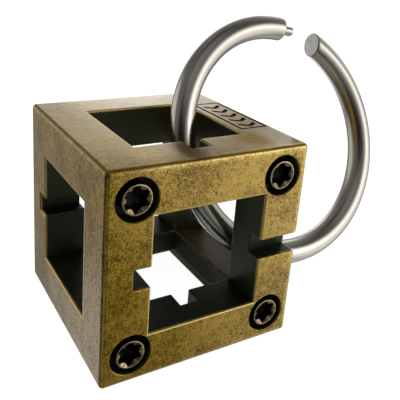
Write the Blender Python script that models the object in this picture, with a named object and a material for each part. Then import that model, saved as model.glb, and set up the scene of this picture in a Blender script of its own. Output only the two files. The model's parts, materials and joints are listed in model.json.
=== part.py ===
"""Metal ring disentanglement puzzle: a hollow cube frame and an open ring looped round one bar.

Lengths are in metres, +Z is up, -Y is the face with the four screws. The origin is the middle of
the whole puzzle's footprint, ring included, on the surface that the cube stands on.
"""
import math

import bmesh
import bpy
from mathutils import Matrix, Vector

MM = 0.001

# Cube frame
CUBE = 37.0 * MM              # outside length of each edge of the cube
BAR = 8.1 * MM                # width and thickness of the twelve square bars
EDGE_ROUND = 0.8 * MM         # rounding of the cube's outer edges
SEAM_GAP = 0.1 * MM           # clearance between the front and the rear casting

# Slots that let the ring's pin cross a bar
SLOT_WIDTH = 3.5 * MM
UPRIGHT_SLOT_DEPTH = 3.0 * MM  # in the two front uprights and the rear left one
LEVEL_SLOT_DEPTH = 3.3 * MM    # in the top and bottom front bars
REAR_SLOT_WIDTH = 3.2 * MM
REAR_SLOT_LOW = 17.1 * MM      # lower side of the rear left upright's slot, from the bottom

# Relief under the bottom window
RELIEF_DEPTH = 3.2 * MM
RELIEF_MARGIN_X = 6.5 * MM    # what is left of the bottom rim at the left and the right
RELIEF_MARGIN_Y = 3.5 * MM    # what is left of the bottom rim at the front and the back

# Screws
SCREW_INSET = 5.1 * MM        # screw axis to the two nearest outer faces
COUNTERBORE_RADIUS = 3.6 * MM
COUNTERBORE_DEPTH = 3.0 * MM
CLEARANCE_RADIUS = 1.7 * MM   # plain hole through the front casting
THREAD_RADIUS = 1.55 * MM     # tapped hole in the rear casting
THREAD_END = 18.5 * MM        # depth of the tapped hole's bottom from the front face
HEAD_RADIUS = 2.5 * MM
HEAD_HEIGHT = 2.7 * MM
HEAD_SINK = 0.1 * MM          # head below the front face
HEAD_CHAMFER = 0.15 * MM
SHANK_RADIUS = 1.45 * MM
SHANK_END = 17.5 * MM
LOBE_TIP_RADIUS = 2.05 * MM
LOBE_VALLEY_RADIUS = 1.4 * MM
RECESS_DEPTH = 1.6 * MM
SCREW_SIDES = 36

# Engraved start panel on the top face of the bar that the ring encloses
PANEL_NEAR = 10.6 * MM        # ends of the frame line, from the front face
PANEL_FAR = 27.1 * MM
PANEL_INNER = 30.4 * MM       # sides of the frame line, from the left face
PANEL_OUTER = 35.9 * MM
ENGRAVE_DEPTH = 0.3 * MM
FRAME_LINE = 0.45 * MM
CHEVRON_COUNT = 5
CHEVRON_LINE = 0.62 * MM
CHEVRON_REACH = 1.3 * MM      # how far the point of a chevron leads its ends
CHEVRON_MARGIN = 0.85 * MM    # chevrons to the frame line

# Ring
WIRE_RADIUS = 2.455 * MM
RING_RADIUS = 23.52 * MM      # centre line of the wire
RING_CENTRE = Vector((47.23 * MM, 19.61 * MM, 30.62 * MM))  # from the cube's front left bottom corner
RING_LEAN = math.radians(23.04)  # the ring's top leans back by this
RING_TURN = math.radians(1.45)   # and the ring is turned by this about the vertical
GAP_START = math.radians(78.4)   # pin end of the wire, counted from the ring's +X side over the top
GAP_WIDTH = 9.0 * MM             # between the two parallel end faces
RING_STEPS = 72
WIRE_SIDES = 18
PIN_RADIUS = 1.02 * MM
PIN_LENGTH = 3.05 * MM        # free length of the pin
PIN_SUNK = 4.0 * MM           # pressed length of the pin
PIN_CHAMFER = 0.25 * MM
PIN_CLEARANCE = 0.06 * MM
PIN_SIDES = 16

RING_REACH = RING_CENTRE.x + RING_RADIUS + WIRE_RADIUS   # ring's far side, from the left face
CUBE_CORNER = Vector((-RING_REACH / 2, -CUBE / 2, 0.0))  # front left bottom corner in the world
PAST = 1.0 * MM               # how far a cutter runs past the face it opens


def clear_scene():
    for obj in list(bpy.data.objects):
        bpy.data.objects.remove(obj)


def metal(name, colour, roughness):
    material = bpy.data.materials.new(name)
    material.use_nodes = True
    shader = material.node_tree.nodes["Principled BSDF"]
    shader.inputs["Base Color"].default_value = (*colour, 1.0)
    shader.inputs["Metallic"].default_value = 1.0
    shader.inputs["Roughness"].default_value = roughness
    material.diffuse_color = (*colour, 1.0)
    return material


def empty(name, location, rotation=None):
    holder = bpy.data.objects.new(name, None)
    holder.location = location
    if rotation is not None:
        holder.rotation_euler = rotation.to_euler()
    bpy.context.collection.objects.link(holder)
    return holder


def mesh_object(name, bm, parent, material=None):
    bmesh.ops.recalc_face_normals(bm, faces=bm.faces)
    mesh = bpy.data.meshes.new(name)
    bm.to_mesh(mesh)
    bm.free()
    obj = bpy.data.objects.new(name, mesh)
    bpy.context.collection.objects.link(obj)
    obj.parent = parent
    if material is not None:
        mesh.materials.append(material)
    return obj


def smooth(obj):
    obj.data.shade_smooth()
    obj.data.set_sharp_from_angle(angle=math.radians(35))


def box_mesh(low, high):
    bm = bmesh.new()
    bmesh.ops.create_cube(bm, size=1.0)
    low, high = Vector(low), Vector(high)
    bmesh.ops.scale(bm, vec=high - low, verts=bm.verts)
    bmesh.ops.translate(bm, vec=(low + high) / 2, verts=bm.verts)
    return bm


def outline_mesh(points, low, high):
    """A flat outline in X and Y, raised from height low to height high."""
    bm = bmesh.new()
    face = bm.faces.new([bm.verts.new((x, y, low)) for x, y in points])
    raised = bmesh.ops.extrude_face_region(bm, geom=[face])
    top = [item for item in raised["geom"] if isinstance(item, bmesh.types.BMVert)]
    bmesh.ops.translate(bm, vec=(0, 0, high - low), verts=top)
    return bm


def rod_mesh(x, z, radius, near, far, sides):
    """A round rod along +Y."""
    bm = bmesh.new()
    place = Matrix.Translation((x, (near + far) / 2, z)) @ Matrix.Rotation(math.pi / 2, 4, "X")
    bmesh.ops.create_cone(bm, cap_ends=True, segments=sides, radius1=radius, radius2=radius,
                          depth=far - near, matrix=place)
    return bm


def cut(target, name, bm):
    cutter = mesh_object("cut_" + name, bm, target.parent)
    cutter.hide_render = True
    cutter.display_type = "WIRE"
    modifier = target.modifiers.new(name, "BOOLEAN")
    modifier.operation = "DIFFERENCE"
    modifier.object = cutter


def round_edges(obj, width, segments):
    modifier = obj.modifiers.new("rounded edges", "BEVEL")
    modifier.width = width
    modifier.segments = segments
    modifier.limit_method = "WEIGHT"


def weigh_outer_edges(bm, seam):
    """Marks every edge for rounding, apart from those round the seam face."""
    layer = bm.edges.layers.float.new("bevel_weight_edge")
    for edge in bm.edges:
        on_seam = all(abs(vert.co.y - seam) < 0.01 * MM for vert in edge.verts)
        edge[layer] = 0.0 if on_seam else 1.0


def screw_places():
    near, far = SCREW_INSET, CUBE - SCREW_INSET
    return {"upper_left": (near, far), "upper_right": (far, far),
            "lower_left": (near, near), "lower_right": (far, near)}


def slot_span():
    """Both sides of a slot in the middle of its bar."""
    return (CUBE - SLOT_WIDTH) / 2, (CUBE + SLOT_WIDTH) / 2


def front_frame(corner, material):
    """Square front casting, one bar thick, with counterbored holes and four of the slots."""
    bm = box_mesh((0, 0, 0), (CUBE, BAR, CUBE))
    weigh_outer_edges(bm, seam=BAR)
    frame = mesh_object("front_frame", bm, corner, material)
    round_edges(frame, EDGE_ROUND, 3)
    far_bar = CUBE - BAR
    cut(frame, "front_window", box_mesh((BAR, -PAST, BAR), (far_bar, BAR + PAST, far_bar)))
    low, high = slot_span()
    cut(frame, "slot_left_bar",
        box_mesh((BAR - UPRIGHT_SLOT_DEPTH, -PAST, low), (BAR + PAST, BAR + PAST, high)))
    cut(frame, "slot_right_bar",
        box_mesh((far_bar - PAST, -PAST, low), (CUBE + PAST, UPRIGHT_SLOT_DEPTH, high)))
    cut(frame, "slot_bottom_bar",
        box_mesh((low, BAR - LEVEL_SLOT_DEPTH, -PAST), (high, BAR + PAST, BAR + PAST)))
    cut(frame, "slot_top_bar",
        box_mesh((low, BAR - LEVEL_SLOT_DEPTH, far_bar - PAST), (high, BAR + PAST, CUBE + PAST)))
    cut(frame, "relief_front", relief_mesh())
    for place, (x, z) in screw_places().items():
        cut(frame, "counterbore_" + place,
            rod_mesh(x, z, COUNTERBORE_RADIUS, -PAST, COUNTERBORE_DEPTH, SCREW_SIDES))
        cut(frame, "hole_" + place,
            rod_mesh(x, z, CLEARANCE_RADIUS, COUNTERBORE_DEPTH - PAST, BAR + PAST, SCREW_SIDES))
    smooth(frame)
    return frame


def relief_mesh():
    return box_mesh((RELIEF_MARGIN_X, RELIEF_MARGIN_Y, -PAST),
                    (CUBE - RELIEF_MARGIN_X, CUBE - RELIEF_MARGIN_Y, RELIEF_DEPTH))


def panel_line_meshes():
    """The engraved frame line, as four overlapping strokes, and the row of chevrons inside it."""
    low, high = CUBE - ENGRAVE_DEPTH, CUBE + PAST
    half = FRAME_LINE / 2
    strokes = []
    for x in (PANEL_INNER, PANEL_OUTER):
        strokes.append(box_mesh((x - half, PANEL_NEAR - half, low), (x + half, PANEL_FAR + half, high)))
    for y in (PANEL_NEAR, PANEL_FAR):
        strokes.append(box_mesh((PANEL_INNER, y - half, low), (PANEL_OUTER, y + half, high)))
    left = PANEL_INNER + half + CHEVRON_MARGIN
    right = PANEL_OUTER - half - CHEVRON_MARGIN
    middle = (left + right) / 2
    pitch = (PANEL_FAR - PANEL_NEAR) / (CHEVRON_COUNT + 0.5)
    for number in range(CHEVRON_COUNT):
        tail = PANEL_FAR - pitch * (number + 0.75)
        outline = [(left, tail), (middle, tail - CHEVRON_REACH), (right, tail),
                   (right, tail - CHEVRON_LINE), (middle, tail - CHEVRON_REACH - CHEVRON_LINE),
                   (left, tail - CHEVRON_LINE)]
        strokes.append(outline_mesh(outline, low, high))
    return strokes


def rear_frame(corner, material):
    """Four posts and the square back in one casting, with tapped posts and the engraved panel."""
    seam = BAR + SEAM_GAP
    bm = box_mesh((0, seam, 0), (CUBE, CUBE, CUBE))
    weigh_outer_edges(bm, seam=seam)
    frame = mesh_object("rear_frame", bm, corner, material)
    round_edges(frame, EDGE_ROUND, 3)
    far_bar = CUBE - BAR
    outside = CUBE + PAST
    cut(frame, "back_window", box_mesh((BAR, 0, BAR), (far_bar, outside, far_bar)))
    cut(frame, "side_windows", box_mesh((-PAST, 0, BAR), (outside, far_bar, far_bar)))
    cut(frame, "top_and_bottom_windows", box_mesh((BAR, 0, -PAST), (far_bar, far_bar, outside)))
    cut(frame, "slot_rear_bar",
        box_mesh((-PAST, far_bar - PAST, REAR_SLOT_LOW),
                 (BAR + PAST, far_bar + UPRIGHT_SLOT_DEPTH, REAR_SLOT_LOW + REAR_SLOT_WIDTH)))
    cut(frame, "relief_rear", relief_mesh())
    for place, (x, z) in screw_places().items():
        cut(frame, "thread_" + place, rod_mesh(x, z, THREAD_RADIUS, 0, THREAD_END, SCREW_SIDES))
    for number, stroke in enumerate(panel_line_meshes()):
        cut(frame, f"engraving_{number}", stroke)
    smooth(frame)
    return frame


def lobe_radius(angle):
    middle = (LOBE_TIP_RADIUS + LOBE_VALLEY_RADIUS) / 2
    swing = (LOBE_TIP_RADIUS - LOBE_VALLEY_RADIUS) / 2
    return middle + swing * math.cos(6 * angle)


def screw(name, x, z, corner, material):
    """Six-lobe countersunk head on a plain shank, built as a stack of rings along +Y."""
    top = HEAD_SINK
    under = HEAD_SINK + HEAD_HEIGHT
    sections = [(top + RECESS_DEPTH, lobe_radius), (top, lobe_radius),
                (top, HEAD_RADIUS - HEAD_CHAMFER), (top + HEAD_CHAMFER, HEAD_RADIUS),
                (under, HEAD_RADIUS), (under, SHANK_RADIUS),
                (SHANK_END - SHANK_RADIUS / 2, SHANK_RADIUS), (SHANK_END, SHANK_RADIUS / 2)]
    bm = bmesh.new()
    rings = []
    for depth, radius in sections:
        ring = []
        for step in range(SCREW_SIDES):
            angle = 2 * math.pi * step / SCREW_SIDES
            reach = radius(angle) if callable(radius) else radius
            ring.append(bm.verts.new((reach * math.sin(angle), depth, reach * math.cos(angle))))
        rings.append(ring)
    for first, second in zip(rings, rings[1:]):
        for step in range(SCREW_SIDES):
            after = (step + 1) % SCREW_SIDES
            bm.faces.new((first[step], first[after], second[after], second[step]))
    bm.faces.new(rings[0])
    bm.faces.new(rings[-1])
    obj = mesh_object(name, bm, corner, material)
    obj.location = (x, 0, z)
    smooth(obj)
    return obj


def gap_frame():
    """Place of the pin end's face on the ring, with X along the wire and into the gap."""
    outward = Vector((math.cos(GAP_START), math.sin(GAP_START), 0))
    along = Vector((math.sin(GAP_START), -math.cos(GAP_START), 0))
    rotation = Matrix((along, outward, along.cross(outward))).transposed()
    return Matrix.Translation(outward * RING_RADIUS) @ rotation.to_4x4()


def ring(axis, material):
    """A full ring of round wire, sawn open by one straight cut and drilled for the pin."""
    bm = bmesh.new()
    place = Matrix.Translation((RING_RADIUS, 0, 0)) @ Matrix.Rotation(math.pi / 2, 4, "X")
    section = bmesh.ops.create_circle(bm, segments=WIRE_SIDES, radius=WIRE_RADIUS, matrix=place)
    bmesh.ops.spin(bm, geom=section["verts"] + bm.edges[:], cent=(0, 0, 0), axis=(0, 0, 1),
                   angle=2 * math.pi, steps=RING_STEPS, use_merge=True)
    obj = mesh_object("ring", bm, axis, material)
    side = 2 * WIRE_RADIUS
    saw_cut = box_mesh((0, -side, -side), (GAP_WIDTH, side, side))
    saw_cut.transform(gap_frame())
    cut(obj, "saw_cut", saw_cut)
    radius = PIN_RADIUS + PIN_CLEARANCE
    pin_hole = pin_mesh(radius, -PIN_SUNK - PIN_CLEARANCE, PAST, 0.0)
    cut(obj, "pin_hole", pin_hole)
    smooth(obj)
    return obj


def pin_mesh(radius, near, far, chamfer):
    """A round pin along the wire, turned down by a chamfer at its free end."""
    bm = bmesh.new()
    stations = [(near, radius), (far - chamfer, radius)]
    if chamfer:
        stations.append((far, radius - chamfer))
    rings = []
    for distance, reach in stations:
        angles = [2 * math.pi * step / PIN_SIDES for step in range(PIN_SIDES)]
        rings.append([bm.verts.new((distance, reach * math.cos(angle), reach * math.sin(angle)))
                      for angle in angles])
    for first, second in zip(rings, rings[1:]):
        for step in range(PIN_SIDES):
            after = (step + 1) % PIN_SIDES
            bm.faces.new((first[step], first[after], second[after], second[step]))
    bm.faces.new(rings[0])
    bm.faces.new(rings[-1])
    bm.transform(gap_frame())
    bmesh.ops.recalc_face_normals(bm, faces=bm.faces)
    return bm


def ring_pin(axis, material):
    obj = mesh_object("ring_pin", pin_mesh(PIN_RADIUS, -PIN_SUNK, PIN_LENGTH, PIN_CHAMFER),
                      axis, material)
    smooth(obj)
    return obj


def main():
    clear_scene()
    antique_brass = metal("antique_brass", (0.24, 0.17, 0.065), 0.42)
    screw_brass = metal("screw_brass", (0.30, 0.25, 0.14), 0.40)
    steel = metal("satin_steel", (0.55, 0.53, 0.50), 0.22)

    corner = empty("cube_corner", CUBE_CORNER)
    front_frame(corner, antique_brass)
    rear_frame(corner, antique_brass)
    for place, (x, z) in screw_places().items():
        screw("screw_" + place, x, z, corner, screw_brass)

    upright = Matrix.Rotation(math.pi / 2 - RING_LEAN, 3, "X")
    turn = Matrix.Rotation(RING_TURN, 3, "Z")
    axis = empty("ring_axis", CUBE_CORNER + RING_CENTRE, turn @ upright)
    ring(axis, steel)
    ring_pin(axis, steel)


main()
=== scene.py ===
"""Looks of the ring and cube puzzle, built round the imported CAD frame.

Lengths are in metres, +Z is up and -Y is the face with the four screws. Every piece is made from
dimensions counted from the cube's front left bottom corner or round the ring's own axis. The
materials count in millimetres from their piece's origin.
"""
import itertools
import json
import math

import bmesh
import bpy
from mathutils import Matrix, Vector


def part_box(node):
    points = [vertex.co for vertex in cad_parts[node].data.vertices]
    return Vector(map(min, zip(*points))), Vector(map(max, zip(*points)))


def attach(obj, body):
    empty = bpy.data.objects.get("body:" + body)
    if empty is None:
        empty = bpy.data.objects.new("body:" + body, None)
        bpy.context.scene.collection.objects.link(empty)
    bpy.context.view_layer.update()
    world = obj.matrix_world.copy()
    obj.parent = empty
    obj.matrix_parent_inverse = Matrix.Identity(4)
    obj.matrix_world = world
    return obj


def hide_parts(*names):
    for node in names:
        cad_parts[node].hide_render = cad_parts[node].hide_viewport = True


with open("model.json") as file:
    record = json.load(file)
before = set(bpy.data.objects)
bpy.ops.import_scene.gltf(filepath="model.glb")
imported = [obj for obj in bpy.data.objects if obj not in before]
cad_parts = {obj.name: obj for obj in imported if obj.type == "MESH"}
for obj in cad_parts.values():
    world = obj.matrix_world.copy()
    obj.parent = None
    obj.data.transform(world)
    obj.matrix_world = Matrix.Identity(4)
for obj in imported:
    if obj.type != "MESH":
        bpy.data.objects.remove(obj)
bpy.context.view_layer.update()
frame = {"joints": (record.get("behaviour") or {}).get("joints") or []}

MM = 0.001
LEFT_LOW, LEFT_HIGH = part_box("front_frame")
CUBE = LEFT_HIGH.x - LEFT_LOW.x            # outside length of each edge of the cube
HALF = CUBE / 2
CUBE_CENTRE = LEFT_LOW + Vector((HALF, HALF, HALF))

# Cube frame
BAR = 8.1 * MM
SEAM_GAP = 0.02 * MM
OUTER_ROUND = 0.75 * MM
WINDOW_ROUND = 0.30 * MM
SLOT_ROUND = 0.30 * MM
ROUND_STEPS = 5
SLOT_WIDTH = 3.5 * MM
UPRIGHT_SLOT_DEPTH = 3.0 * MM
LEVEL_SLOT_DEPTH = 3.3 * MM
REAR_SLOT_WIDTH = 3.2 * MM
REAR_SLOT_LOW = 17.1 * MM
RELIEF_DEPTH = 3.2 * MM
RELIEF_MARGIN_X = 6.5 * MM
RELIEF_MARGIN_Y = 3.5 * MM
PAST = 1.0 * MM                            # how far a cutter runs past the face it opens
TINY = 0.001 * MM                          # places closer than this count as the same

# Engraved start panel
PANEL_NEAR = 10.6 * MM
PANEL_FAR = 27.1 * MM
PANEL_INNER = 30.4 * MM
PANEL_OUTER = 35.9 * MM
ENGRAVE_DEPTH = 0.3 * MM
FRAME_LINE = 0.55 * MM
CHEVRON_COUNT = 5
CHEVRON_LINE = 1.15 * MM
CHEVRON_REACH = 1.3 * MM
CHEVRON_MARGIN = 0.7 * MM

# Screws
SCREW_INSET = 5.1 * MM
COUNTERBORE_RADIUS = 3.6 * MM
COUNTERBORE_RIM = 0.12 * MM
COUNTERBORE_DEPTH = 3.0 * MM
CLEARANCE_RADIUS = 1.7 * MM
THREAD_RADIUS = 1.55 * MM
THREAD_END = 18.5 * MM
HEAD_SINK = 0.1 * MM
HEAD_RADIUS = 2.5 * MM
HEAD_RIM = 0.22 * MM
HEAD_HEIGHT = 2.7 * MM
HEAD_CHAMFER = 0.12 * MM
CHAMFER_BULGE = 0.03 * MM                  # from the chamfer's middle to the head's top and side
RIM_CHAMFER = 0.04 * MM                    # on the inner side of the head's rim
SHANK_RADIUS = 1.45 * MM
SHANK_END = 17.5 * MM
LOBES = 6
LOBE_POWER = 1.15                          # above 1, lobes are narrower than the valleys
LOBE_TIP_RADIUS = 2.15 * MM
LOBE_VALLEY_RADIUS = 1.62 * MM
LOBE_FLARE = 0.03 * MM                     # how much wider a lobe's tip is halfway up the land
LAND_DROP = 0.35 * MM
RECESS_DEPTH = 1.6 * MM
RECESS_TAPER = 0.95                        # size of the socket's floor against its mouth
POINT_DEPTH = 0.3 * MM                     # shallow cone in the socket's floor
POINT_RADIUS = 0.1 * MM
HOLE_SIDES = 96

# Ring
WIRE_RADIUS = 2.455 * MM
RING_RADIUS = 23.52 * MM
GAP_START = math.radians(78.4)
GAP_WIDTH = 9.0 * MM
END_ROUND = 0.3 * MM
END_STEPS = 4
RING_STEPS = 240
WIRE_SIDES = 64
PIN_RADIUS = 1.02 * MM
PIN_HOLE_RADIUS = 1.08 * MM
PIN_LENGTH = 3.05 * MM
PIN_SUNK = 4.0 * MM
PIN_GAP = 0.05 * MM                        # between the pin and the bottom of its hole
PIN_ROUND = 0.25 * MM
PIN_SIDES = 40

# Angle between two faces above which their edge stays sharp
FRAME_SHARP = math.radians(30)
SCREW_SHARP = math.radians(35)
RING_SHARP = math.radians(40)

# Camera, placed in millimetres from the cube's front left bottom corner
CAMERA_PLACE = (-28.276, -66.556, 66.729)
CAMERA_AIM = (23.399, 21.615, 35.287)
CAMERA_ROLL = math.radians(3.8123)
CAMERA_LENS = 50.69
CAMERA_SHIFT = (0.0579, -0.1904)


# ---------------------------------------------------------------- mesh helpers

def mesh_object(name, bm, location=(0, 0, 0)):
    bmesh.ops.recalc_face_normals(bm, faces=bm.faces)
    mesh = bpy.data.meshes.new(name)
    bm.to_mesh(mesh)
    bm.free()
    obj = bpy.data.objects.new(name, mesh)
    bpy.context.scene.collection.objects.link(obj)
    obj.location = location
    return obj


def applied(obj):
    """Turns the object's modifiers into its mesh."""
    bpy.context.view_layer.update()
    evaluated = obj.evaluated_get(bpy.context.evaluated_depsgraph_get())
    mesh = bpy.data.meshes.new_from_object(evaluated)
    obj.modifiers.clear()
    obj.data = mesh
    return obj


def axes_at(origin, x_axis, y_axis, z_axis):
    """The matrix that moves a shape to these axes at this place."""
    return Matrix.Translation(origin) @ Matrix((x_axis, y_axis, z_axis)).transposed().to_4x4()


def box_mesh(low, high):
    bm = bmesh.new()
    bmesh.ops.create_cube(bm, size=1.0)
    low, high = Vector(low), Vector(high)
    bmesh.ops.scale(bm, vec=high - low, verts=bm.verts)
    bmesh.ops.translate(bm, vec=(low + high) / 2, verts=bm.verts)
    return bm


def outline_mesh(points, low, high):
    bm = bmesh.new()
    face = bm.faces.new([bm.verts.new((x, y, low)) for x, y in points])
    raised = bmesh.ops.extrude_face_region(bm, geom=[face])
    top = [item for item in raised["geom"] if isinstance(item, bmesh.types.BMVert)]
    bmesh.ops.translate(bm, vec=(0, 0, high - low), verts=top)
    return bm


def skin(bm, loops):
    """Joins each loop of corners to the next one with quads."""
    for first, second in zip(loops, loops[1:]):
        for side in range(len(first)):
            after = (side + 1) % len(first)
            bm.faces.new((first[side], first[after], second[after], second[side]))


def turned_mesh(x, z, profile, sides):
    """A closed turned body along +Y. The profile lists (depth, radius) from one end to the other,
    and a radius may be a function of the angle."""
    bm = bmesh.new()
    loops = []
    for depth, radius in profile:
        loop = []
        for step in range(sides):
            angle = 2 * math.pi * step / sides
            reach = radius(angle) if callable(radius) else radius
            loop.append(bm.verts.new((x + reach * math.sin(angle), depth, z + reach * math.cos(angle))))
        loops.append(loop)
    skin(bm, loops)
    bm.faces.new(loops[0])
    bm.faces.new(loops[-1])
    return bm


def quarter_round(width):
    """Points of a round from an end face to the side: how far from the face and from the side."""
    turns = [math.pi / 2 * step / END_STEPS for step in range(END_STEPS + 1)]
    return [(width * (1 - math.cos(turn)), width * (1 - math.sin(turn))) for turn in turns]


def cut(target, bm):
    """Cuts a shape given from the cube's corner out of a piece centred on the cube."""
    bm.transform(Matrix.Translation((-HALF, -HALF, -HALF)))
    cutter = mesh_object("cutter", bm, CUBE_CENTRE)
    modifier = target.modifiers.new("cut", "BOOLEAN")
    modifier.operation = "DIFFERENCE"
    modifier.object = cutter
    applied(target)
    bpy.data.objects.remove(cutter)


def inside(point, box):
    low, high = box
    return all(low[axis] < point[axis] < high[axis] for axis in range(3))


def block_mesh(solid, cuts):
    """A box less other boxes, as one closed mesh of quads on the grid of all their faces."""
    planes = []
    for axis in range(3):
        values = {solid[0][axis], solid[1][axis]}
        for low, high in cuts:
            values.update(value for value in (low[axis], high[axis])
                          if solid[0][axis] < value < solid[1][axis])
        planes.append(sorted(values))
    counts = [len(values) - 1 for values in planes]

    def filled(cell):
        if any(not 0 <= cell[axis] < counts[axis] for axis in range(3)):
            return False
        middle = [(planes[axis][cell[axis]] + planes[axis][cell[axis] + 1]) / 2 for axis in range(3)]
        return not any(inside(middle, box) for box in cuts)

    bm = bmesh.new()
    verts = {}

    def vert(index):
        if index not in verts:
            verts[index] = bm.verts.new([planes[axis][index[axis]] - HALF for axis in range(3)])
        return verts[index]

    for cell in filter(filled, itertools.product(*map(range, counts))):
        for axis, side in itertools.product(range(3), (0, 1)):
            beside = list(cell)
            beside[axis] += 2 * side - 1
            if filled(beside):
                continue
            second, third = (axis + 1) % 3, (axis + 2) % 3
            corners = []
            for second_step, third_step in ((0, 0), (1, 0), (1, 1), (0, 1)):
                corner = list(cell)
                corner[axis] += side
                corner[second] += second_step
                corner[third] += third_step
                corners.append(vert(tuple(corner)))
            bm.faces.new(corners if side else corners[::-1])
    return bm


# ---------------------------------------------------------------- cube pieces

def edge_round(edge, seam):
    """Rounding width of one edge of the cube's frame: 0 unless it is sharp, sticks out and isn't in
    the seam. The mouths of slots in the left and right faces are rounded like the cube's edges."""
    if len(edge.link_faces) != 2 or not edge.is_convex or edge.calc_face_angle() < FRAME_SHARP:
        return 0.0
    ends = [vert.co for vert in edge.verts]
    if all(abs(co.y - seam) < TINY for co in ends):
        return 0.0
    outer = sum(all(abs(abs(co[axis]) - HALF) < TINY for co in ends) for axis in range(3))
    slot_mouth = all(abs(abs(co.x) - HALF) < TINY and abs(co.z) < SLOT_WIDTH for co in ends)
    if outer >= 2 or slot_mouth:
        return OUTER_ROUND
    return WINDOW_ROUND if outer == 1 else SLOT_ROUND


def rounded(obj, seam):
    bm = bmesh.new()
    bm.from_mesh(obj.data)
    layer = bm.edges.layers.float.new("bevel_weight_edge")
    for edge in bm.edges:
        edge[layer] = edge_round(edge, seam) / OUTER_ROUND
    bm.to_mesh(obj.data)
    bm.free()
    modifier = obj.modifiers.new("rounded", "BEVEL")
    modifier.width = OUTER_ROUND
    modifier.segments = ROUND_STEPS
    modifier.limit_method = "WEIGHT"
    modifier.use_clamp_overlap = False
    modifier.miter_outer = "MITER_ARC"
    return applied(obj)


def smooth_faces(obj, sharp):
    obj.data.shade_smooth()
    obj.data.set_sharp_from_angle(angle=sharp)
    modifier = obj.modifiers.new("even shading", "WEIGHTED_NORMAL")
    modifier.keep_sharp = True


def slot_span():
    """Both sides of a slot in the middle of its bar."""
    return (CUBE - SLOT_WIDTH) / 2, (CUBE + SLOT_WIDTH) / 2


def relief_box():
    return ((RELIEF_MARGIN_X, RELIEF_MARGIN_Y, -PAST),
            (CUBE - RELIEF_MARGIN_X, CUBE - RELIEF_MARGIN_Y, RELIEF_DEPTH))


def screw_places():
    near, far = SCREW_INSET, CUBE - SCREW_INSET
    return {"upper_left": (near, far), "upper_right": (far, far),
            "lower_left": (near, near), "lower_right": (far, near)}


def counterbore(x, z):
    mouth = COUNTERBORE_RADIUS + COUNTERBORE_RIM
    profile = [(-PAST, mouth), (0, mouth), (COUNTERBORE_RIM, COUNTERBORE_RADIUS),
               (COUNTERBORE_DEPTH, COUNTERBORE_RADIUS)]
    return turned_mesh(x, z, profile, HOLE_SIDES)


def front_frame():
    """The front casting: the window, four slots, the relief and the counterbored screw holes."""
    far = CUBE - BAR
    low, high = slot_span()
    window = ((BAR, -PAST, BAR), (far, BAR + PAST, far))
    left_slot = ((BAR - UPRIGHT_SLOT_DEPTH, -PAST, low), (BAR + PAST, BAR + PAST, high))
    right_slot = ((far - PAST, -PAST, low), (CUBE + PAST, UPRIGHT_SLOT_DEPTH, high))
    bottom_slot = ((low, BAR - LEVEL_SLOT_DEPTH, -PAST), (high, BAR + PAST, BAR + PAST))
    top_slot = ((low, BAR - LEVEL_SLOT_DEPTH, far - PAST), (high, BAR + PAST, CUBE + PAST))
    cuts = [window, left_slot, right_slot, bottom_slot, top_slot, relief_box()]
    obj = mesh_object("front_casting", block_mesh(((0, 0, 0), (CUBE, BAR, CUBE)), cuts), CUBE_CENTRE)
    rounded(obj, BAR - HALF)
    clearance = [(COUNTERBORE_DEPTH - PAST, CLEARANCE_RADIUS), (BAR + PAST, CLEARANCE_RADIUS)]
    for x, z in screw_places().values():
        cut(obj, counterbore(x, z))
        cut(obj, turned_mesh(x, z, clearance, HOLE_SIDES))
    smooth_faces(obj, FRAME_SHARP)
    return obj


def panel_strokes():
    """Cutters of the start panel: a frame line and a row of chevrons that point to the front."""
    low, high = CUBE - ENGRAVE_DEPTH, CUBE + PAST
    half = FRAME_LINE / 2
    strokes = []
    for x in (PANEL_INNER, PANEL_OUTER):
        strokes.append(box_mesh((x - half, PANEL_NEAR - half, low), (x + half, PANEL_FAR + half, high)))
    for y in (PANEL_NEAR, PANEL_FAR):
        strokes.append(box_mesh((PANEL_INNER, y - half, low), (PANEL_OUTER, y + half, high)))
    left = PANEL_INNER + half + CHEVRON_MARGIN
    right = PANEL_OUTER - half - CHEVRON_MARGIN
    middle = (left + right) / 2
    pitch = (PANEL_FAR - PANEL_NEAR) / (CHEVRON_COUNT + 0.5)
    for number in range(CHEVRON_COUNT):
        tail = PANEL_FAR - pitch * (number + 0.5)
        outline = [(left, tail), (middle, tail - CHEVRON_REACH), (right, tail),
                   (right, tail - CHEVRON_LINE), (middle, tail - CHEVRON_REACH - CHEVRON_LINE),
                   (left, tail - CHEVRON_LINE)]
        strokes.append(outline_mesh(outline, low, high))
    return strokes


def rear_frame():
    """The rear casting: four posts and the square back, with one slot, the relief, the start panel
    and the tapped holes."""
    seam = BAR + SEAM_GAP
    far = CUBE - BAR
    outside = CUBE + PAST
    low, high = REAR_SLOT_LOW, REAR_SLOT_LOW + REAR_SLOT_WIDTH
    rear_window = ((BAR, 0, BAR), (far, outside, far))
    side_windows = ((-PAST, 0, BAR), (outside, far, far))
    level_windows = ((BAR, 0, -PAST), (far, far, outside))
    left_slot = ((-PAST, far - PAST, low), (BAR + PAST, far + UPRIGHT_SLOT_DEPTH, high))
    cuts = [rear_window, side_windows, level_windows, left_slot, relief_box()]
    obj = mesh_object("rear_casting", block_mesh(((0, seam, 0), (CUBE, CUBE, CUBE)), cuts), CUBE_CENTRE)
    rounded(obj, seam - HALF)
    for stroke in panel_strokes():
        cut(obj, stroke)
    for x, z in screw_places().values():
        cut(obj, turned_mesh(x, z, [(0, THREAD_RADIUS), (THREAD_END, THREAD_RADIUS)], HOLE_SIDES))
    smooth_faces(obj, FRAME_SHARP)
    return obj


def lobed(tip, valley):
    """A lobed outline with one lobe up, as a radius for each angle."""
    def radius(angle):
        wave = (1 + math.cos(LOBES * angle)) / 2
        return valley + (tip - valley) * wave ** LOBE_POWER
    return radius


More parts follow.
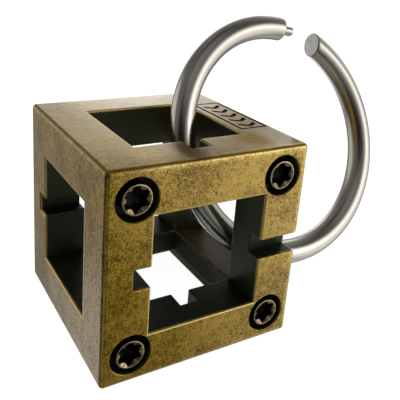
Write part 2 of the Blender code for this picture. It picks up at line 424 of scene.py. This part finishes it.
def screw(name, x, z):
    """A screw with a six-lobe socket, from the socket's floor over the head to the shank's end."""
    top = HEAD_SINK
    under = HEAD_SINK + HEAD_HEIGHT
    rim = HEAD_RADIUS - HEAD_RIM
    floor_outline = lobed(LOBE_TIP_RADIUS * RECESS_TAPER, LOBE_VALLEY_RADIUS * RECESS_TAPER)
    land_outline = lobed(LOBE_TIP_RADIUS + LOBE_FLARE, (rim + LOBE_VALLEY_RADIUS) / 2)
    socket = [(top + RECESS_DEPTH + POINT_DEPTH, POINT_RADIUS),
              (top + RECESS_DEPTH, floor_outline),
              (top + LAND_DROP, lobed(LOBE_TIP_RADIUS, LOBE_VALLEY_RADIUS)),
              (top + LAND_DROP / 2, land_outline)]
    head = [(top + RIM_CHAMFER, rim - RIM_CHAMFER / 2),
            (top, rim + RIM_CHAMFER / 2),
            (top, HEAD_RADIUS - HEAD_CHAMFER),
            (top + CHAMFER_BULGE, HEAD_RADIUS - CHAMFER_BULGE),
            (top + HEAD_CHAMFER, HEAD_RADIUS),
            (under, HEAD_RADIUS)]
    shank = [(under, SHANK_RADIUS),
             (SHANK_END - SHANK_RADIUS / 2, SHANK_RADIUS),
             (SHANK_END, SHANK_RADIUS / 2)]
    place = LEFT_LOW + Vector((x, 0, z))
    obj = mesh_object(name, turned_mesh(0, 0, socket + head + shank, HOLE_SIDES), place)
    smooth_faces(obj, SCREW_SHARP)
    return obj


# ---------------------------------------------------------------- ring pieces

def ring_object(name, bm):
    """A piece of the ring, given on the ring's own axes: Z along the hinge, X level, origin at the
    ring's centre."""
    joint = frame["joints"][0]
    axis = Vector(joint["axis"]).normalized()
    level = Vector((0, 0, 1)).cross(axis).normalized()
    obj = mesh_object(name, bm)
    obj.matrix_world = axes_at(joint["pos_m"], level, axis.cross(level), axis)
    smooth_faces(obj, RING_SHARP)
    return obj


def wire_point(angle, section, radius):
    """A point of the wire: angle counted round the ring from the pin end's face."""
    reach = RING_RADIUS + radius * math.cos(section)
    turn = GAP_START + angle
    return Vector((reach * math.cos(turn), reach * math.sin(turn), radius * math.sin(section)))


def wire_sections():
    return [2 * math.pi * side / WIRE_SIDES for side in range(WIRE_SIDES)]


def wire_loop(bm, share, inward, from_pin_end, from_far_end):
    """One loop round the wire, a share of the way between two places that are given as distances
    from the end faces."""
    loop = []
    radius = WIRE_RADIUS - inward
    for section in wire_sections():
        reach = RING_RADIUS + radius * math.cos(section)
        first = from_pin_end / reach
        last = 2 * math.pi - math.asin(GAP_WIDTH / reach) - from_far_end / reach
        loop.append(bm.verts.new(wire_point(first + (last - first) * share, section, radius)))
    return loop


def pin_direction():
    """Along the wire out of the pin end and into the gap."""
    return Vector((math.sin(GAP_START), -math.cos(GAP_START), 0))


def ring_piece():
    """The open ring, with rounded ends and the hole for the pin."""
    bm = bmesh.new()
    end = quarter_round(END_ROUND)
    wire = [wire_loop(bm, 0, inward, distance, 0) for distance, inward in end]
    for step in range(1, RING_STEPS):
        wire.append(wire_loop(bm, step / RING_STEPS, 0, END_ROUND, END_ROUND))
    wire += [wire_loop(bm, 1, inward, 0, distance) for distance, inward in reversed(end)]
    mouth = [wire_point(0, section, PIN_HOLE_RADIUS) for section in wire_sections()]
    bottom = [bm.verts.new(point - pin_direction() * PIN_SUNK) for point in mouth]
    mouth = [bm.verts.new(point) for point in mouth]
    skin(bm, [bottom, mouth] + wire)
    bm.faces.new(bottom)
    bm.faces.new(wire[-1])
    return ring_object("open_ring", bm)


def pin_piece():
    profile = [(PIN_GAP - PIN_SUNK, PIN_RADIUS)]
    for distance, inward in reversed(quarter_round(PIN_ROUND)):
        profile.append((PIN_LENGTH - distance, PIN_RADIUS - inward))
    bm = turned_mesh(0, 0, profile, PIN_SIDES)
    outward = Vector((math.cos(GAP_START), math.sin(GAP_START), 0))
    bm.transform(axes_at(outward * RING_RADIUS, Vector((0, 0, 1)), pin_direction(), outward))
    return ring_object("pin", bm)


# ---------------------------------------------------------------- materials

BRASS_LIGHT = (0.58, 0.375, 0.038, 1)
BRASS_DARK = (0.22, 0.122, 0.006, 1)
BRASS_FLECK = (0.84, 0.59, 0.11, 1)
BRASS_WORN = (0.92, 0.70, 0.24, 1)
BRASS_PIT = (0.035, 0.022, 0.008, 1)
BRASS_STAIN = (0.15, 0.075, 0.0, 1)
PATINA_DARK = (0.017, 0.022, 0.009, 1)
# Painted shade on the right bottom bar's inner side and round the screw holes
PAINTED_SHADE_BLACK = (0.004, 0.006, 0.003, 1)
# Brown of the patina on the engraved panel and towards the top, and a painted reflection on the right
# bottom bar's top face
PATINA_AND_SHEEN_BROWN = (0.110, 0.078, 0.025, 1)
LAND_DARK = (0.16, 0.12, 0.06, 1)
LAND_LIGHT = (0.50, 0.40, 0.23, 1)
RIM_DARK = (0.30, 0.24, 0.12, 1)
RIM_LIGHT = (0.56, 0.47, 0.28, 1)
# Painted shade in the screw socket and in the gap round the head
SOCKET_SHADE = (0.012, 0.012, 0.011, 1)
STEEL_LIGHT = (0.71, 0.685, 0.60, 1)
STEEL_DARK = (0.62, 0.595, 0.51, 1)
# Darker on the ring's dull side: painted shade that dims the highlight there
STEEL_SATIN_SHADE = (0.60, 0.565, 0.495, 1)
STEEL_LINE = (0.38, 0.37, 0.35, 1)
STEEL_END = (0.60, 0.60, 0.57, 1)

# Noise patterns: scale per millimetre, detail, roughness
GRAIN = (2.9, 5.0, 0.74)
SPECKLE = (4.2, 3.0, 0.6)
CLOUD = (0.8, 2.0, 0.5)
BROAD = (0.13, 2.0, 0.5)
GROUND = (1.0, 4.0, 0.6)
GROUND_STRETCH = (0.55, 3.6, 3.6)          # turns the ground pattern into lines along X
PITTING = (2.9, 1.0, 0.5)
PITTING_SHIFT = (31, 17, 5)                # keeps the pits apart from the grain
PIT_CLUSTERS = (0.3, 1.0, 0.5)
SCREW_MOTTLE = (2.5, 5.0, 0.6)
DRAWN_LINES = (7.0, 4.0, 0.65)
DRAWN_STRETCH = 0.12                       # share of the scale left along the wire
HAZE = (0.35, 3.0, 0.5)
FINE_HAZE = (9.0, 2.0, 0.5)
END_SCRATCHES = (1.0, 3.0, 0.6)
END_STRETCH = (0.8, 0.8, 5.0)

# Ramps: input where it starts, input where it ends, and the two outputs if they aren't 0 and 1
TONE_RAMP = (0.38, 0.60)
FLECK_RAMP = (0.56, 0.70, 0.0, 0.75)
CLUSTER_RAMP = (0.35, 0.65, 0.07, -0.03)
PIT_RAMP = (0.65, 0.70)
BURNISH_GRAIN_RAMP = (0.36, 0.58, 0.2, 1.0)
INNER_WEAR_RAMP = (0.42, 0.7, 0.05, 0.5)
FACE_LACQUER_RAMP = (0.36, 0.56, 0.5, 1.0)
LAND_RAMP = (0.38, 0.62)
RIM_RAMP = (0.35, 0.6)
STEEL_RAMP = (0.3, 0.7)
STEEL_LINE_RAMP = (0.60, 0.72, 0.0, 0.25)
STEEL_ROUGH_RAMP = (0.25, 0.75, 0.20, 0.23)
SATIN_RAMP = (-0.9, -0.1)
SCRATCH_RAMP = (0.4, 0.6)
END_RAMP = (0.8, 0.95)
# The same, over a depth or a distance in millimetres
WINDOW_WEAR_RAMP = (0.45, 0.12)
WEAR_DEPTH_RAMP = (0.6, 0.1)
BURNISH_WIDTH_RAMP = (1.4, 0.7)
PANEL_DEPTH_RAMP = (0.02, 0.05)
PATINA_DEPTH_RAMP = (0.27, 0.55)
INNER_EDGE_RAMP = (BAR / MM - 0.35, BAR / MM - 0.12)
HEAD_SIDE_RAMP = (0.12, 0.3)
RIM_RADIUS_RAMP = ((HEAD_RADIUS - HEAD_RIM) / MM - 0.12, (HEAD_RADIUS - HEAD_RIM) / MM)
SOCKET_DEPTH_RAMP = ((HEAD_SINK + LAND_DROP) / MM - 0.08, (HEAD_SINK + LAND_DROP) / MM + 0.02)
# The same, over X or Z in millimetres from the cube's middle
BURNISH_SIDE_RAMP = (-17.0, -8.0, 0.1, 1.0)
LEVEL_ROUGH_RAMP = (-15.0, -8.0, 0.46, 0.40)
LEVEL_LACQUER_RAMP = (-16.0, 2.0, 0.42, 0.95)
HIGH_BROWN_RAMP = (2.0, 12.0, 0.0, 0.16)

# How much of one thing goes into another
GROUND_SHARE = 0.5
BROAD_SHARE = 0.4
CLOUD_SHARE = 0.25
LEVEL_CONTRAST = 0.55
LEVEL_PIT_LOSS = 0.3
PIT_SHARE = 0.85
BURNISH_SHARE = 0.45
WORN_SHARE = 0.85
PATINA_WOBBLE = 0.16
# Share of painted shade round the screw holes
HOLE_SHADE = 0.7
PATINA_METAL_LOSS = 0.85
TONE_ROUGH = 0.15
LINE_ROUGH = 0.03
SATIN_ROUGH = 0.08
SPECKLE_HEIGHT = 0.5
PIT_HEIGHT = 0.8
HAZE_HEIGHT = 0.4

FACE_ROUGH = 0.46
BURNISHED_ROUGH = 0.31
PATINA_ROUGH = 0.34
BLACK_ROUGH = 0.6
LACQUER_ROUGH = 0.12
PATINA_SPECULAR = 0.30
SCREW_ROUGH = 0.36
END_FACE_ROUGH = 0.32
DULL_ANGLE = math.radians(30)              # where round the ring its finish is dullest and its colour darkest with painted shade

# Bumps: strength, and depth in metres
BRASS_BUMP = (0.35, 0.05 * MM)
SCREW_BUMP = (0.25, 0.04 * MM)
STEEL_BUMP = (0.10, 0.02 * MM)

# Places on the cube: middle in millimetres from the cube's corner, and reach
# Painted reflection: lighter brown patina on the top face of the right bottom bar
SHEEN_BAR_PATCH = ((31.0, 19.0, 8.0), (6.0, 15.0, 4.0))
# Painted shade: near black on the inner side of the right bottom bar
SHADE_BAR_PATCH = ((28.9, 19.0, 3.0), (4.0, 19.0, 9.0))
HOLE_MIDDLE = ((CUBE - SCREW_INSET) / MM, CUBE / MM, (CUBE - SCREW_INSET) / MM)
HOLE_REACH = (8, 9, 8)                     # one screw hole, which is mirrored for the others; painted shade round the counterbores
PATCH_CORE = 0.25                          # share of the reach over which a patch is whole
# Stains without lacquer on the top face: the same, and how dark they are
TOP_STAINS = [((15.8, 4.0, 37.0), (3.2, 6.5, 1.0), 0.95), ((29.0, 5.4, 37.0), (4.4, 5.8, 1.0), 0.3)]


class Nodes:
    """A short way of writing a node tree: each call adds its nodes and returns their output."""

    def __init__(self, tree):
        self.tree = tree

    def add(self, kind, output=0, settings=None, **inputs):
        """Adds one node. An input is given by its name, or by its number after an underscore."""
        node = self.tree.nodes.new(kind)
        for name, value in (settings or {}).items():
            setattr(node, name, value)
        for name, value in inputs.items():
            socket = node.inputs[int(name[1:])] if name[0] == "_" else node.inputs[name.replace("_", " ")]
            self.plug(socket, value)
        return node.outputs[output]

    def plug(self, socket, value):
        if isinstance(value, bpy.types.NodeSocket):
            self.tree.links.new(value, socket)
        else:
            socket.default_value = value

    def math(self, operation, first, second=0.0, third=0.0):
        return self.add("ShaderNodeMath", settings={"operation": operation}, _0=first, _1=second, _2=third)

    def several(self, operation, first, others):
        for other in others:
            first = self.math(operation, first, other)
        return first

    def total(self, first, *others):
        return self.several("ADD", first, others)

    def product(self, first, *others):
        return self.several("MULTIPLY", first, others)

    def largest(self, first, *others):
        return self.several("MAXIMUM", first, others)

    def less(self, first, second):
        return self.math("SUBTRACT", first, second)

    def swing(self, value, share):
        """How far a value is from a half, times a share."""
        return self.product(self.less(value, 0.5), share)

    def vector(self, operation, first, second=(0, 0, 0), output="Vector"):
        return self.add("ShaderNodeVectorMath", output, {"operation": operation}, _0=first, _1=second)

    def facing(self, first, second):
        return self.vector("DOT_PRODUCT", first, second, "Value")

    def noise(self, place, scale, detail, roughness):
        return self.add("ShaderNodeTexNoise", 0, None, Vector=place, Scale=scale, Detail=detail,
                        Roughness=roughness, Lacunarity=2.0)

    def ramp(self, value, start, end, low=0.0, high=1.0):
        return self.add("ShaderNodeMapRange", 0, {"interpolation_type": "SMOOTHSTEP"}, Value=value,
                        From_Min=start, From_Max=end, To_Min=low, To_Max=high)

    def blend(self, share, first, second):
        """A mix of two colours."""
        return self.add("ShaderNodeMix", 2, {"data_type": "RGBA"}, _0=share, _6=first, _7=second)

    def blend_value(self, share, first, second):
        return self.add("ShaderNodeMix", 0, {"data_type": "FLOAT"}, _0=share, _2=first, _3=second)

    def split(self, vector):
        node = self.tree.nodes.new("ShaderNodeSeparateXYZ")
        self.plug(node.inputs[0], vector)
        return list(node.outputs)

    def bump(self, shader, height, strength, distance):
        bump = self.add("ShaderNodeBump", Strength=strength, Distance=distance, Height=height)
        self.plug(shader.inputs["Normal"], bump)


def new_material(name):
    material = bpy.data.materials.new(name)
    material.use_nodes = True
    nodes = Nodes(material.node_tree)
    shader = material.node_tree.nodes["Principled BSDF"]
    shader.inputs["Metallic"].default_value = 1.0
    return material, nodes, shader


def millimetres(nodes):
    """Place on the piece in its own axes, in millimetres."""
    place = nodes.add("ShaderNodeTexCoord", "Object")
    return nodes.add("ShaderNodeVectorMath", 0, {"operation": "SCALE"}, _0=place, Scale=1 / MM)


def cube_depths(nodes, place):
    """How far a point lies under the cube's nearest face, and how far it is from the cube's
    nearest edge and from the window edge of its bar, all in millimetres."""
    x, y, z = nodes.split(nodes.vector("ABSOLUTE", place))
    first = nodes.largest(x, y, z)
    last = nodes.several("MINIMUM", x, (y, z))
    second = nodes.less(nodes.less(nodes.total(x, y, z), first), last)
    under = nodes.less(HALF / MM, first)
    edge = nodes.less(HALF / MM, second)
    window = nodes.less(second, (HALF - BAR) / MM)
    return under, edge, window


def patch(nodes, place, middle, reach):
    """1 round a place given from the cube's corner, falling to 0 at the reach of an ellipsoid."""
    local = Vector(middle) - Vector((HALF, HALF, HALF)) / MM
    away = nodes.vector("DIVIDE", nodes.vector("SUBTRACT", place, local), reach)
    return nodes.ramp(nodes.vector("LENGTH", away, output="Value"), 1.0, PATCH_CORE)


def panel_area(nodes, place):
    """1 inside the engraved start panel, its frame line included."""
    x, y, z = nodes.split(place)
    area = nodes.math("GREATER_THAN", z, (HALF - 2 * ENGRAVE_DEPTH) / MM)
    for value, low, high in ((x, PANEL_INNER, PANEL_OUTER), (y, PANEL_NEAR, PANEL_FAR)):
        middle, reach = (low + high) / 2 - HALF, (high - low) / 2 + FRAME_LINE
        away = nodes.math("ABSOLUTE", nodes.less(value, middle / MM))
        area = nodes.product(area, nodes.math("LESS_THAN", away, reach / MM))
    return area


def brass_tone(nodes, place, level, grain, cloud):
    """Lightness of the plating, round 0.5, with grinding lines along X on level faces."""
    ground = nodes.noise(nodes.vector("MULTIPLY", place, GROUND_STRETCH), *GROUND)
    broad = nodes.noise(place, *BROAD)
    tone = nodes.blend_value(nodes.product(level, GROUND_SHARE), grain, ground)
    tone = nodes.total(tone, nodes.swing(broad, BROAD_SHARE), nodes.swing(cloud, CLOUD_SHARE))
    contrast = nodes.blend_value(level, 1.0, LEVEL_CONTRAST)
    return nodes.math("MULTIPLY_ADD", nodes.less(tone, 0.5), contrast, 0.5)


def pit_mask(nodes, place, level):
    """1 in small pits, which lie in clusters and are fainter on level faces."""
    clusters = nodes.ramp(nodes.noise(place, *PIT_CLUSTERS), *CLUSTER_RAMP)
    pitting = nodes.noise(nodes.vector("ADD", place, PITTING_SHIFT), *PITTING)
    pits = nodes.ramp(nodes.less(pitting, clusters), *PIT_RAMP)
    return nodes.product(pits, nodes.less(1.0, nodes.product(level, LEVEL_PIT_LOSS)))


def wear_masks(nodes, place, depths, grain):
    """Wear along the window edges, and burnishing along the cube's edges, which fades to the left."""
    under, edge, window = depths
    worn = nodes.product(nodes.ramp(window, *WINDOW_WEAR_RAMP), nodes.ramp(under, *WEAR_DEPTH_RAMP))
    burnished = nodes.product(nodes.ramp(edge, *BURNISH_WIDTH_RAMP),
                              nodes.ramp(grain, *BURNISH_GRAIN_RAMP),
                              nodes.ramp(nodes.split(place)[0], *BURNISH_SIDE_RAMP))
    return worn, burnished


def recess_mask(nodes, under, speckle, cloud, panel):
    """1 on every surface below the cube's faces and on the floor of the panel's engraving, less where
    the bars' inner edges are worn."""
    shallow = nodes.product(panel, nodes.ramp(under, *PANEL_DEPTH_RAMP))
    deep = nodes.ramp(nodes.total(under, nodes.swing(speckle, PATINA_WOBBLE)), *PATINA_DEPTH_RAMP)
    inner_edge = nodes.product(nodes.ramp(under, *INNER_EDGE_RAMP), nodes.ramp(cloud, *INNER_WEAR_RAMP))
    return nodes.less(nodes.largest(shallow, deep), inner_edge)


def patina_with_painted_light(nodes, place, level, panel):
    """Colour of the patina, browner towards the top, with a painted reflection on the top of the right
    bottom bar and painted shade on that bar's inner side and round the screw holes; and the share of
    that painted shade, where it is also duller.
    """
    # Painted reflection on the top face of the right bottom bar
    painted_sheen = nodes.product(patch(nodes, place, *SHEEN_BAR_PATCH), level)
    brown = nodes.largest(painted_sheen, panel, nodes.ramp(nodes.split(place)[2], *HIGH_BROWN_RAMP))
    # Painted shade on the inner side of the right bottom bar and round the screw holes
    bar = nodes.product(patch(nodes, place, *SHADE_BAR_PATCH), nodes.less(1.0, level))
    holes = patch(nodes, nodes.vector("ABSOLUTE", place), HOLE_MIDDLE, HOLE_REACH)
    black = nodes.largest(bar, nodes.product(holes, HOLE_SHADE))
    return nodes.blend(black, nodes.blend(brown, PATINA_DARK, PATINA_AND_SHEEN_BROWN), PAINTED_SHADE_BLACK), black


def aged_brass():
    """Olive gold plating with fine dark mottling and pits, worn bright along its edges, and with
    near-black patina on every surface below the cube's own faces."""
    material, nodes, shader = new_material("aged_brass")
    place = millimetres(nodes)
    x = nodes.split(place)[0]
    depths = cube_depths(nodes, place)
    level = nodes.math("ABSOLUTE", nodes.split(nodes.add("ShaderNodeTexCoord", "Normal"))[2])
    grain, speckle, cloud = [nodes.noise(place, *pattern) for pattern in (GRAIN, SPECKLE, CLOUD)]
    tone = brass_tone(nodes, place, level, grain, cloud)
    pits = pit_mask(nodes, place, level)
    worn, burnished = wear_masks(nodes, place, depths, grain)
    panel = panel_area(nodes, place)
    recess = recess_mask(nodes, depths[0], speckle, cloud, panel)
    # The patina carries a painted reflection and painted shade
    patina, black = patina_with_painted_light(nodes, place, level, panel)

    colour = nodes.blend(nodes.ramp(tone, *TONE_RAMP), BRASS_DARK, BRASS_LIGHT)
    colour = nodes.blend(nodes.ramp(speckle, *FLECK_RAMP), colour, BRASS_FLECK)
    colour = nodes.blend(nodes.product(pits, PIT_SHARE), colour, BRASS_PIT)
    bright = nodes.largest(worn, nodes.product(burnished, BURNISH_SHARE))
    colour = nodes.blend(nodes.product(bright, WORN_SHARE), colour, BRASS_WORN)
    stained = 0.0
    for middle, reach, darkness in TOP_STAINS:
        stain = patch(nodes, place, middle, reach)
        stained = nodes.largest(stain, stained)
        colour = nodes.blend(nodes.product(stain, darkness), colour, BRASS_STAIN)
    nodes.plug(shader.inputs["Base Color"], nodes.blend(recess, colour, patina))

    rough = nodes.blend_value(level, FACE_ROUGH, nodes.ramp(x, *LEVEL_ROUGH_RAMP))
    rough = nodes.blend_value(burnished, rough, BURNISHED_ROUGH)
    rough = nodes.total(rough, nodes.swing(tone, TONE_ROUGH))
    # Rougher where the patina has painted shade
    rough = nodes.blend_value(recess, rough, nodes.blend_value(black, PATINA_ROUGH, BLACK_ROUGH))
    nodes.plug(shader.inputs["Roughness"], rough)
    nodes.plug(shader.inputs["Metallic"], nodes.less(1.0, nodes.product(recess, PATINA_METAL_LOSS)))
    shader.inputs["Specular IOR Level"].default_value = PATINA_SPECULAR

    bare = nodes.largest(recess, pits, stained)
    lacquer = nodes.blend_value(level, nodes.ramp(tone, *FACE_LACQUER_RAMP),
                                nodes.ramp(x, *LEVEL_LACQUER_RAMP))
    nodes.plug(shader.inputs["Coat Weight"], nodes.product(lacquer, nodes.less(1.0, bare)))
    shader.inputs["Coat Roughness"].default_value = LACQUER_ROUGH
    height = nodes.total(tone, nodes.product(speckle, SPECKLE_HEIGHT))
    nodes.bump(shader, nodes.less(height, nodes.product(pits, PIT_HEIGHT)), *BRASS_BUMP)
    return material


def screw_metal():
    """Pale brass on the head's rim and lands, with painted shade in black inside the socket and round the
    head.
    """
    material, nodes, shader = new_material("screw_metal")
    place = millimetres(nodes)
    x, depth, z = nodes.split(place)
    radius = nodes.math("SQRT", nodes.total(nodes.product(x, x), nodes.product(z, z)))
    mottle = nodes.noise(place, *SCREW_MOTTLE)
    rim = nodes.ramp(radius, *RIM_RADIUS_RAMP)
    land_colour = nodes.blend(nodes.ramp(mottle, *LAND_RAMP), LAND_DARK, LAND_LIGHT)
    rim_colour = nodes.blend(nodes.ramp(mottle, *RIM_RAMP), RIM_DARK, RIM_LIGHT)
    colour = nodes.blend(rim, land_colour, rim_colour)
    # Painted shade: black in the socket and on the head's side in the counterbore
    socket = nodes.ramp(depth, *SOCKET_DEPTH_RAMP)
    side = nodes.math("GREATER_THAN", radius, (HEAD_RADIUS - CHAMFER_BULGE) / MM)
    side = nodes.product(side, nodes.ramp(depth, *HEAD_SIDE_RAMP))
    colour = nodes.blend(nodes.largest(socket, side), colour, SOCKET_SHADE)
    nodes.plug(shader.inputs["Base Color"], colour)
    shader.inputs["Roughness"].default_value = SCREW_ROUGH
    nodes.bump(shader, mottle, *SCREW_BUMP)
    return material


def end_face(nodes, x, y, flat):
    """1 where the surface faces along the wire, as the cut ends of the ring do."""
    across, along, _ = nodes.split(nodes.add("ShaderNodeTexCoord", "Normal"))
    turned = nodes.less(nodes.product(x, along), nodes.product(y, across))
    return nodes.ramp(nodes.math("ABSOLUTE", nodes.math("DIVIDE", turned, flat)), *END_RAMP)


def ring_steel():
    """Satin steel with fine drawing lines along the wire, faint haze and scratched end faces. It is
    duller and rougher, and painted darker as shade that dims its highlights, over all but the side
    opposite DULL_ANGLE."""
    material, nodes, shader = new_material("ring_steel")
    place = millimetres(nodes)
    x, y, z = nodes.split(place)
    flat = nodes.math("SQRT", nodes.total(nodes.product(x, x), nodes.product(y, y)))
    along = nodes.product(nodes.math("ARCTAN2", y, x), RING_RADIUS / MM)
    around = nodes.math("ARCTAN2", z, nodes.less(flat, RING_RADIUS / MM))
    around = nodes.product(around, WIRE_RADIUS / MM)
    unrolled = nodes.add("ShaderNodeCombineXYZ", X=nodes.product(along, DRAWN_STRETCH), Y=around, Z=0.0)
    lines = nodes.noise(unrolled, *DRAWN_LINES)
    haze = nodes.noise(place, *HAZE)
    colour = nodes.blend(nodes.ramp(haze, *STEEL_RAMP), STEEL_DARK, STEEL_LIGHT)
    colour = nodes.blend(nodes.ramp(lines, *STEEL_LINE_RAMP), colour, STEEL_LINE)
    # Painted shade: the steel is coloured darker where its finish is duller
    dull_side = (math.cos(DULL_ANGLE), math.sin(DULL_ANGLE), 0)
    satin_and_shade = nodes.ramp(nodes.facing(nodes.vector("NORMALIZE", place), dull_side), *SATIN_RAMP)
    colour = nodes.blend(satin_and_shade, colour, STEEL_SATIN_SHADE)
    end = end_face(nodes, x, y, flat)
    scratches = nodes.noise(nodes.vector("MULTIPLY", place, END_STRETCH), *END_SCRATCHES)
    scratched = nodes.blend(nodes.ramp(scratches, *SCRATCH_RAMP), STEEL_LINE, STEEL_END)
    nodes.plug(shader.inputs["Base Color"], nodes.blend(end, colour, scratched))

    rough = nodes.total(nodes.ramp(haze, *STEEL_ROUGH_RAMP), nodes.product(lines, LINE_ROUGH))
    rough = nodes.math("MULTIPLY_ADD", satin_and_shade, SATIN_ROUGH, rough)
    nodes.plug(shader.inputs["Roughness"], nodes.blend_value(end, rough, END_FACE_ROUGH))
    height = nodes.total(lines, nodes.product(nodes.noise(place, *FINE_HAZE), HAZE_HEIGHT))
    nodes.bump(shader, height, *STEEL_BUMP)
    return material


# ---------------------------------------------------------------- stage, light and camera

FLOOR_RADIUS = 4.0
FLOOR_SIDES = 64
FLOOR_DROP = 0.05 * MM                     # keeps the floor clear of the piece's underside
FLOOR_COLOUR = (0.8, 0.8, 0.8, 1)
FLOOR_GLOW = 0.95
WHITE = (1, 1, 1, 1)
AMBIENT = 0.01

# Azimuth, elevation, half angle of the core, half angle of the soft edge, strength
SOFT_LIGHTS = [
    (16, -41, 7, 17, 1.5),       # table behind
    (24, 9, 5, 16, 1.5),         # window behind the object
    (52, 21, 3, 16, 1.0),        # window, second pane
    (82, 17, 6, 15, 0.75),       # window, third pane
    (126, -7, 19, 38, 0.85),     # card on the right
    (317, 2, 22, 32, 0.65),      # card on the left, behind
    (152, 7, 2, 44, 0.45),       # card in front
    (140, 16, 4, 22, 1.2),       # lamp in front, on the right
    (329, -41, 5, 17, 0.45),     # table behind, on the left
    (108, -54, 2, 33, 0.4),      # table on the right
    (228, -52, 4, 42, 0.35),     # table in front
    (349, 62, 3, 12, 0.3),       # ceiling lamp behind
    (50, -15, 60, 94, 0.25),     # backdrop
    (189, 66, 4, 34, 0.25),      # ceiling
    (290, 36, 25, 42, 0.15),     # wall on the left
    (195, -7, 4, 22, 0.1),       # room in front
]


def floor():
    bm = bmesh.new()
    bmesh.ops.create_circle(bm, cap_ends=True, segments=FLOOR_SIDES, radius=FLOOR_RADIUS)
    obj = mesh_object("floor", bm, (0, 0, -FLOOR_DROP))
    material = bpy.data.materials.new("pale_floor")
    material.use_nodes = True
    shader = material.node_tree.nodes["Principled BSDF"]
    shader.inputs["Base Color"].default_value = FLOOR_COLOUR
    shader.inputs["Roughness"].default_value = 0.9
    shader.inputs["Specular IOR Level"].default_value = 0.0
    shader.inputs["Emission Color"].default_value = WHITE
    shader.inputs["Emission Strength"].default_value = FLOOR_GLOW
    obj.data.materials.append(material)
    obj.visible_glossy = False


def direction(azimuth, elevation):
    """Unit vector; azimuth 0 is behind the object (+Y) and 90 its right (+X)."""
    azimuth, elevation = math.radians(azimuth), math.radians(elevation)
    flat = math.cos(elevation)
    return Vector((math.sin(azimuth) * flat, math.cos(azimuth) * flat, math.sin(elevation)))


def studio():
    """A room of soft lights, which the camera itself sees as plain white."""
    world = bpy.data.worlds.new("studio")
    bpy.context.scene.world = world
    world.use_nodes = True
    nodes = Nodes(world.node_tree)
    background = world.node_tree.nodes["Background"]
    output = world.node_tree.nodes["World Output"]
    look = nodes.add("ShaderNodeTexCoord", "Generated")
    light = AMBIENT
    for azimuth, elevation, core, edge, strength in SOFT_LIGHTS:
        edge_cosine, core_cosine = math.cos(math.radians(edge)), math.cos(math.radians(core))
        facing = nodes.facing(look, direction(azimuth, elevation))
        light = nodes.total(nodes.ramp(facing, edge_cosine, core_cosine, 0.0, strength), light)
    nodes.plug(background.inputs["Strength"], light)
    background.inputs["Color"].default_value = WHITE
    plain = nodes.add("ShaderNodeBackground", Color=WHITE, Strength=1.0)
    seen = nodes.add("ShaderNodeLightPath", "Is Camera Ray")
    mix = nodes.add("ShaderNodeMixShader", _0=seen, _1=background.outputs[0], _2=plain)
    nodes.plug(output.inputs["Surface"], mix)


def camera():
    data = bpy.data.cameras.new("camera")
    obj = bpy.data.objects.new("camera", data)
    bpy.context.scene.collection.objects.link(obj)
    data.sensor_width = 36.0
    data.lens = CAMERA_LENS
    data.shift_x, data.shift_y = CAMERA_SHIFT
    data.clip_start = 5 * MM
    place = LEFT_LOW + Vector(CAMERA_PLACE) * MM
    aim = LEFT_LOW + Vector(CAMERA_AIM) * MM
    obj.location = place
    turn = (aim - place).to_track_quat("-Z", "Y")
    obj.rotation_mode = "QUATERNION"
    obj.rotation_quaternion = turn @ Matrix.Rotation(CAMERA_ROLL, 3, "Z").to_quaternion()
    bpy.context.scene.camera = obj


# ---------------------------------------------------------------- the whole

def main():
    brass, screws, steel = aged_brass(), screw_metal(), ring_steel()
    pieces = [(front_frame(), "front_frame", "frame", brass, "antique_brass"),
              (rear_frame(), "rear_frame", "frame", brass, "antique_brass")]
    for place, (x, z) in screw_places().items():
        obj = screw("socket_screw_" + place, x, z)
        pieces.append((obj, "screw_" + place, "frame", screws, "screw_brass"))
    pieces.append((ring_piece(), "ring", "ring", steel, "satin_steel"))
    pieces.append((pin_piece(), "ring_pin", "ring", steel, "satin_steel"))
    for obj, node, body, material, slot in pieces:
        obj.data.materials.clear()
        obj.data.materials.append(material)
        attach(obj, body)
        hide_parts(node)
    floor()
    studio()
    camera()
    bpy.context.scene.view_settings.view_transform = "Standard"


main()
